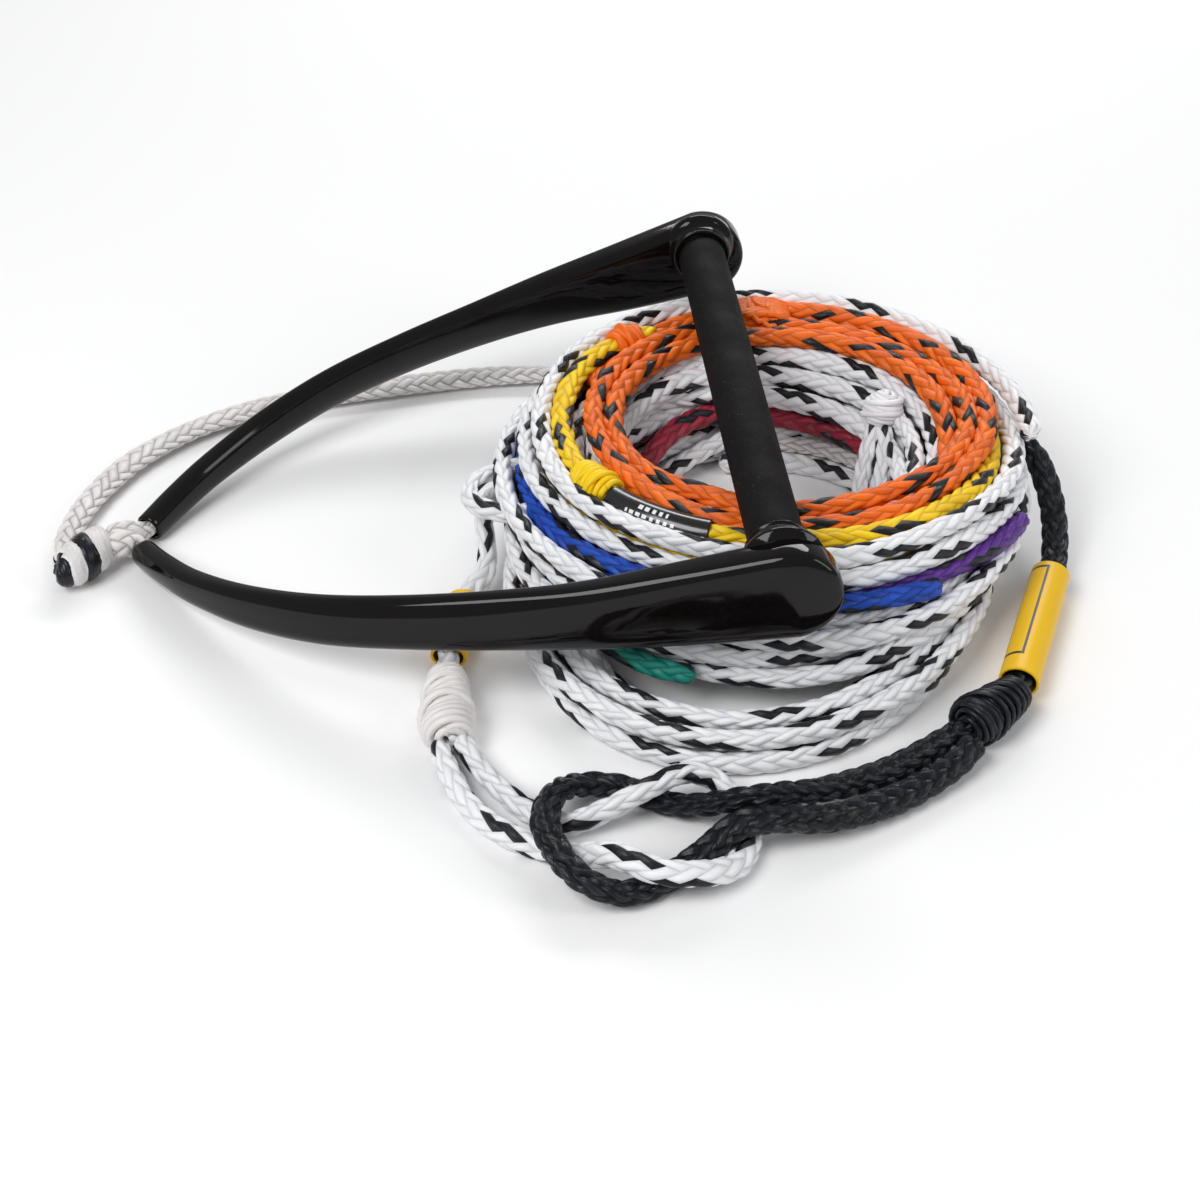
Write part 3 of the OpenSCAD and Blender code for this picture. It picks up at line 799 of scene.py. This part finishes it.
def sleeve_piece(name, core, half_wide, half_thin, material, print_material, marks):
    """A thin plastic tube over a rope, open and rolled in at both ends; marks chooses the printed faces."""
    rings = around = 96
    f = np.linspace(0, 1, rings)
    centre = np.stack([np.interp(f, np.linspace(0, 1, len(core)), core[:, k]) for k in range(3)], 1)
    _, side, up = frames_along(centre)
    phi = np.arange(around) * 2 * math.pi / around
    edge = [(0.5, -1.6), (0.0, -1.4), (0.0, -0.5), (0.35, 0.0)]
    rows = [(0, e, d) for e, d in edge] + [(i, 0.6, 0.0) for i in range(1, rings - 1)]
    rows += [(rings - 1, e, d) for e, d in edge[::-1]]
    points = []
    for i, inset, grow in rows:
        sign = 1 if i == 0 else -1 if i == rings - 1 else 0
        t = centre[min(i + 1, rings - 1)] - centre[max(i - 1, 0)]
        c = centre[i] + t / np.linalg.norm(t) * inset * sign
        a, b = half_wide + grow, half_thin + grow
        points.append(c + side[i] * (a * np.cos(phi))[:, None] + up[i] * (b * np.sin(phi))[:, None])
    n = len(rows)
    i, k = np.meshgrid(np.arange(n - 1), np.arange(around), indexing="ij")
    faces = np.stack([i * around + k, i * around + (k + 1) % around,
                      (i + 1) * around + (k + 1) % around, (i + 1) * around + k], -1).reshape(-1, 4)
    printed = marks(i.ravel() / (n - 1), (k.ravel() + 0.5) / around * 360)
    obj = new_mesh(name, np.concatenate(points) * MM, faces, printed.astype(np.int32))
    obj.data.materials.append(material)
    obj.data.materials.append(print_material)
    return obj


def no_marks(along, angle):
    return np.zeros(len(along), bool)


def dash_marks(along, angle):
    """Two rows of plain dashes that stand for print."""
    row_a = (np.abs(angle - 114) < 9) & (along > 0.33) & (along < 0.62)
    row_b = (np.abs(angle - 146) < 9) & (along > 0.25) & (along < 0.70)
    return (row_a | row_b) & (np.sin(along * 105) > -0.35)


def frame_marks(along, angle):
    """A plain outlined rectangle."""
    inside = (np.abs(angle - 50) < 36) & (along > 0.14) & (along < 0.93)
    core = (np.abs(angle - 50) < 30) & (along > 0.16) & (along < 0.91)
    return inside & ~core


def make_yellow_pieces():
    wrap_core = stretch(YELLOW_PATH, 202, 215, 64)
    obj = wrap_piece("wrap_yellow", wrap_core, [7.0, 8.8, 9.4, 9.2, 8.0], 1.8, ROPES["yellow"], 41, 3, 3.0)
    on_rope(obj, "yellow_rope", "yellow_wrap")
    core = stretch(YELLOW_PATH, 215, 243, 64)
    label = sleeve_piece("sleeve_label", core, 8.0, 7.6, LABEL, PRINT_WHITE, dash_marks)
    on_rope(label, "label_film", "label_sleeve")


def make_orange_wraps():
    """One wrap holds the yellow section's end, the other is at the back on the orange section itself."""
    left = YELLOW_PATH[-16:-7] / MM
    back = stretch(ORANGE_PATH, 83, 97, 62)
    radius = np.linalg.norm(back[:, :2] - RING_CENTRE, axis=1)
    back = back[radius > np.median(radius) - 3]
    for name, core, node, seed in (("wrap_orange_left", left, "orange_wrap_left", 43),
                                   ("wrap_orange_back", back, "orange_wrap_back", 45)):
        obj = wrap_piece(name, core, [6.4, 7.8, 8.2, 8.2, 7.8, 6.4], 2.0, ROPES["orange"], seed, 2, 3.0)
        on_rope(obj, "orange_rope", node)


def make_white_knot():
    centre = np.array([249.0, 27.0, 58.5])
    axis = np.array([0.35, 0.25, 0.9])
    axis /= np.linalg.norm(axis)
    core = straight(centre - axis * 10, centre + axis * 10, 20)
    ball = [1.6, 7.0, 9.2, 9.8, 9.2, 7.0, 1.6]
    lines = [winding(core, ball, 8, 0.4, 0.2, 47, 1.5),
             winding(core, [0.8 * r for r in ball], 8, 2.0, 0.2, 48, -1.5),
             winding(core, [r + 0.7 for r in ball], 3, 1.0, 0.2, 49, 3.0)]
    on_rope(strands_object("knot_white_ball", lines, 1.9, ROPES["white"]), "white_rope", "white_knot")
    left = [[246, 26, 52], [241, 16, 45], [235, 2, 34], [230, -14, 22]]
    right = [[248, 22, 52], [248, 12, 46], [245, -2, 36], [240, -18, 24]]
    for name, route, seed in (("knot_leg_left", left, 51), ("knot_leg_right", right, 52)):
        leg, _ = braid(name, curve_through(route, 1.0), 11.5, 9.5, [ROPES["white"], TRACER], lean=0.9,
                       tracers=TWO_SIDE_BY_SIDE, seed=seed)
        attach(leg, "rope")


BARREL = [8.0, 9.4, 9.8, 9.8, 10.0, 10.8, 12.0, 11.0, 4.2]    # radii along a wrap that holds two ropes
BOAT_SLEEVE_LENGTH = 100


def make_boat_end_pieces():
    """The wraps and the yellow sleeves of the tow loop and of the boat leader."""
    core = straight([-8, -142, 12.5], [-8, -191, 11.5], 24)
    wrap = wrap_piece("wrap_tow", core, BARREL, 2.2, ROPES["plain"], 55, 3, 5.5)
    on_rope(wrap, "white_rope", "tow_wrap")
    core = straight([282, -178, 13], [250, -204, 13], 24)
    wrap = wrap_piece("wrap_boat", core, BARREL, 1.5, ROPES["black"], 57, 8, 6.0)
    on_rope(wrap, "black_rope", "boat_wrap")
    core = straight([3, -72, 9.2], [-7, -122, 9.6], 24)
    sleeve = sleeve_piece("sleeve_tow", core, 9.6, 7.6, SLEEVE, PRINT_BLACK, no_marks)
    on_rope(sleeve, "yellow_sleeve", "tow_sleeve")
    start, toward = np.array([286.0, -168, 11]), np.array([331.0, -68, 11])
    end = start + (toward - start) / np.linalg.norm(toward - start) * BOAT_SLEEVE_LENGTH
    core = straight(start, end, 24)
    sleeve = sleeve_piece("sleeve_boat", core, 10.6, 9.2, SLEEVE, PRINT_BLACK, frame_marks)
    on_rope(sleeve, "yellow_sleeve", "boat_sleeve")


KNOT_START, KNOT_WAY = np.array([-197.0, -8, 13.5]), np.array([-0.68, -0.73, -0.05])
KNOT_STRANDS, KNOT_CORD_R, KNOT_LEAN = 4, 3.4, 4.0
# Piece, colour, slot, CAD node, then its bands: first and last place along the knot, radii, turns, phase
KNOT_BANDS = (
    ("knot_apex_white", "plain", "white_rope", "knot_white",
     [(0.5, 12, [4.0, 7.6, 8.8, 9.0, 8.6], 2.0, 0.4)]),
    ("knot_apex_black", "black", "black_rope", "knot_black",
     [(12, 19, [8.6, 9.8, 9.8, 8.6], 1.4, 2.6), (28, 33, [7.2, 5.8, 2.2], 1.2, 1.0)]),
    ("knot_apex_tail", "plain", "white_rope", "knot_tail", [(19, 28, [8.4, 8.8, 7.4], 1.8, 4.4)])
)
# Each tail is thin inside the arm's mouth and swells outside it
TAIL_WIDE, TAIL_THIN = [8.0, 9.0, 14.5, 16.5, 14.0], [8.0, 9.5, 16.0, 17.0, 14.0]
TAIL_PLACES = ((16, 20.5), (11, 13), (6, 6.5))    # inside the arm, in its mouth and outside it: along, out


def make_apex_knot():
    """The wound knot that holds the bridle's tails and the handle rope."""
    for name, colour, slot, node, parts in KNOT_BANDS:
        lines = []
        for first, last, radii, turns, phase in parts:
            core = straight(KNOT_START + KNOT_WAY * first, KNOT_START + KNOT_WAY * last)
            lines += [winding(core, radii, turns, phase + k * 2 * math.pi / KNOT_STRANDS, 0.0, 3, KNOT_LEAN)
                      for k in range(KNOT_STRANDS)]
        on_rope(strands_object(name, lines, KNOT_CORD_R, ROPES[colour], 16), slot, node)


def make_bridle_tails():
    """The bridle's two ends, from inside the arms' mouths into the knot; they bend as the handle lifts."""
    for name, y in (("bridle_tail_near", -1), ("bridle_tail_far", 1)):
        inside, mouth, outside = (on_plane([[u, y * v, 0]])[0] / MM for u, v in TAIL_PLACES)
        route = [inside, mouth, outside + [0, 0, 2.5], [-190, -5 + y * 4, 13.5], [-198, -9 + y * 3, 13.5]]
        obj, _ = braid(name, curve_through(route, 1.0), TAIL_WIDE, TAIL_THIN, [ROPES["plain"], TRACER],
                       tracers=NO_TRACER, seed=65 + y, pitch=60)
        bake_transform(obj, "handle", "rope", start=tuple(mouth * MM * [1, 0, 1]), end=(-0.193, 0, 0.012))


make_yellow_pieces()
make_orange_wraps()
make_white_knot()
make_boat_end_pieces()
make_apex_knot()
make_bridle_tails()

# ---- handle ----

# Stations of an arm in millimetres: along, out, depth across the plane, thickness, lean in degrees, drop
ARM = [
    (11, 13, 16, 15, 0, 0), (26, 35, 18, 15, 4, 0), (46, 60, 20, 15, 9, 0), (78, 90, 24, 15, 15, 0),
    (118, 117, 27, 15, 19, 0), (164, 137, 29, 15, 19, 1), (214, 153, 32, 16, 15, 3), (258, 164, 36, 18, 9, 5),
    (306, 171, 44, 20, 4, 7.5)
]
END_THICK, END_DROP = 22.0, 9.0
NECK = ARM[-1][0]          # the arm widens into its rounded end from here on
ARM_SIDES = 56


def oval(depth, thick, lean, power):
    """A rounded section: across the arm first, then along the handle's normal."""
    t = np.arange(ARM_SIDES) * 2 * math.pi / ARM_SIDES
    x = np.sign(np.cos(t)) * np.abs(np.cos(t)) ** (2 / power) * thick / 2
    y = np.sign(np.sin(t)) * np.abs(np.sin(t)) ** (2 / power) * depth / 2
    c, s = math.cos(lean), math.sin(lean)
    return x * c - y * s, x * s + y * c


def arm_rings(side):
    """Rings of an arm's skin from its mouth to its rounded end, in millimetres on the handle's plane."""
    reach, end_r = REACH / MM, END_R / MM
    mid = ARM_OUTER / MM - END_THICK / 2
    table = np.array(ARM + [(reach, mid, 2 * end_r, END_THICK, 0, END_DROP)], float)
    u = np.linspace(0, len(table) - 1, 110)
    rows = np.stack([smooth_column(u, table[:, k]) for k in range(6)], 1)
    direction = np.gradient(rows[:, :2], axis=0)
    direction[-1] = (1, 0)
    rings = []
    for i, (x, out, depth, thick, lean, drop) in enumerate(rows):
        power = 2.5 + 1.7 * smooth_step((x - 200) / 140)
        d = direction[i] / np.linalg.norm(direction[i])
        if x > NECK:
            w = smooth_step((x - NECK) / 42)
            d = (1 - w) * d + w * np.array([1, 0])
            d /= np.linalg.norm(d)
        across, up = oval(depth, thick, math.radians(lean), power)
        rings.append(np.stack([x - across * d[1], out + across * d[0], up - drop], 1))
    for f in np.sin(np.linspace(0, math.pi / 2, 22)[1:]):
        across, up = oval(2 * end_r * math.sqrt(max(1 - f * f, 0.0004)),
                          END_THICK * max(1 - f ** 6, 0.002) ** (1 / 6), 0, 4.2)
        rings.append(np.stack([np.full(len(up), reach + f * end_r), mid + across, up - END_DROP], 1))
    rings = mouth_rings(rings[0], direction[0] / np.linalg.norm(direction[0])) + rings
    return [r * [1, side, 1] for r in rings]


def mouth_rings(first, ahead):
    """The rounded lip of an arm's mouth and the recess inside it; ahead points along the arm."""
    centre = first.mean(0)
    out = []
    for scale, back in ((0.70, 12), (0.72, 3), (0.74, 0.2), (0.79, -0.8), (0.86, -1.2), (0.93, -0.9),
                        (0.985, -0.3)):
        out.append(centre + (first - centre) * scale + back * np.array([*ahead, 0]))
    return out


def smooth_column(u, values):
    """Values between the rows of a table, on a smooth curve through them."""
    i = np.clip(u.astype(int), 0, len(values) - 2)
    pad = padded_ends(values)
    return catmull_rom(pad[i], pad[i + 1], pad[i + 2], pad[i + 3], u - i)


def skin(rings):
    """Points and faces over rings of equal size, closed at both ends."""
    n, m = len(rings[0]), len(rings)
    faces = [[i * n + k, i * n + (k + 1) % n, (i + 1) * n + (k + 1) % n, (i + 1) * n + k]
             for i in range(m - 1) for k in range(n)]
    return np.concatenate(rings), faces + [list(range(n))[::-1], list(range((m - 1) * n, m * n))]


def lathe(profile, segments=72):
    """Rings round the bar's axis from (place along it, radius) pairs in millimetres."""
    t = np.arange(segments) * 2 * math.pi / segments
    x0, z0 = BAR[0] / MM, BAR[2] / MM
    return [np.stack([x0 + r * np.cos(t), np.full(segments, y), z0 + r * np.sin(t)], 1) for y, r in profile]


# Socket round the bar's end, with its groove and lip: place along the bar, radius
COLLAR = [
    (171, 21.8), (167.2, 21.6), (165.6, 19.9), (164.2, 18.6), (162.4, 17.7), (160.4, 17.3), (159.2, 17.2),
    (158.6, 16.6), (158.2, 16.2), (157.8, 16.5), (157.4, 17.2), (156.8, 17.5), (156.2, 17.2), (155.9, 16.4),
    (155.9, 15.0), (158.0, 14.6)
]


def make_arms():
    for name, side, node in (("arm_cover_far", 1, "arm_far"), ("arm_cover_near", -1, "arm_near")):
        points, faces = skin(arm_rings(side))
        points = on_plane(points)
        more, extra = skin([r * [1, side, 1] for r in lathe(COLLAR)])
        faces += [[v + len(points) for v in f] for f in extra]
        obj = new_mesh(name, np.concatenate([points, more * MM]), faces)
        turn_outward(obj)
        obj.data.materials.append(ARM_BLACK)
        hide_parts(node)
        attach(obj, "handle")


def turn_outward(obj):
    bm = bmesh.new()
    bm.from_mesh(obj.data)
    bmesh.ops.recalc_face_normals(bm, faces=bm.faces)
    bm.to_mesh(obj.data)
    bm.free()


def make_grip():
    """Foam tube with softly rounded ends, a little fuller in its middle."""
    half, r = GRIP_HALF / MM, GRIP_R / MM
    bore_r, swell = 11.2, 0.12
    ends = [(half - 3.0, r - 0.06), (half - 1.2, r - 0.25), (half - 0.4, r - 0.8), (half, r - 1.8),
            (half, bore_r)]
    middle = [(y, r - swell + swell * math.cos(y / half * math.pi / 2))
              for y in np.linspace(-half + 4, half - 4, 90)]
    profile = [(-y, v) for y, v in ends[::-1]] + middle + ends
    points, faces = skin(lathe(profile, 96))
    obj = new_mesh("grip_cover", points * MM, faces)
    turn_outward(obj)
    obj.data.materials.append(FOAM)
    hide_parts("grip")
    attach(obj, "bar")


def finish_cad_nodes():
    """Better materials for the CAD nodes that stay: the parts inside the handle."""
    for node, material in (("bar_tube", METAL), ("bar_plug_near", PLUG), ("bar_plug_far", PLUG),
                           ("bridle_rope", BRIDLE_BRAID)):
        mesh = frame["nodes"][node].data
        mesh.materials.clear()
        mesh.materials.append(material)


make_arms()
make_grip()
finish_cad_nodes()

# ---- floor and lights ----

def make_stage():
    size, z = 6.0, -0.4 * MM
    floor = new_mesh("floor", [(-size, -size, z), (size, -size, z), (size, size, z), (-size, size, z)],
                     [[0, 1, 2, 3]], smooth=False)
    m, _, _, shader = new_material("floor_pale")
    shader.inputs["Base Color"].default_value = (0.90, 0.90, 0.90, 1)
    shader.inputs["Roughness"].default_value = 0.9
    floor.data.materials.append(m)
    world = bpy.data.worlds.new("studio")
    bpy.context.scene.world = world
    world.use_nodes = True
    sky = world.node_tree.nodes["Background"].inputs
    sky["Color"].default_value = (0.97, 0.98, 1.0, 1)
    sky["Strength"].default_value = 0.36
    bpy.context.scene.view_settings.view_transform = "Standard"


def area_light(name, place, aim, size, power):
    data = bpy.data.lights.new(name, "AREA")
    data.shape = "RECTANGLE"
    data.size, data.size_y = size
    data.energy = power
    obj = bpy.data.objects.new(name, data)
    bpy.context.scene.collection.objects.link(obj)
    obj.location = place
    obj.rotation_mode = "QUATERNION"
    obj.rotation_quaternion = (Vector(aim) - Vector(place)).to_track_quat("-Z", "Y")


def make_lights():
    middle = (0.08, -0.05, 0.03)
    area_light("key", (-0.9, -0.9, 1.5), middle, (1.0, 1.0), 25)
    area_light("back", (0.5, 1.7, 1.3), middle, (1.6, 0.5), 20)
    area_light("side", (1.5, -0.6, 0.9), middle, (0.5, 1.0), 7)


make_stage()
make_lights()
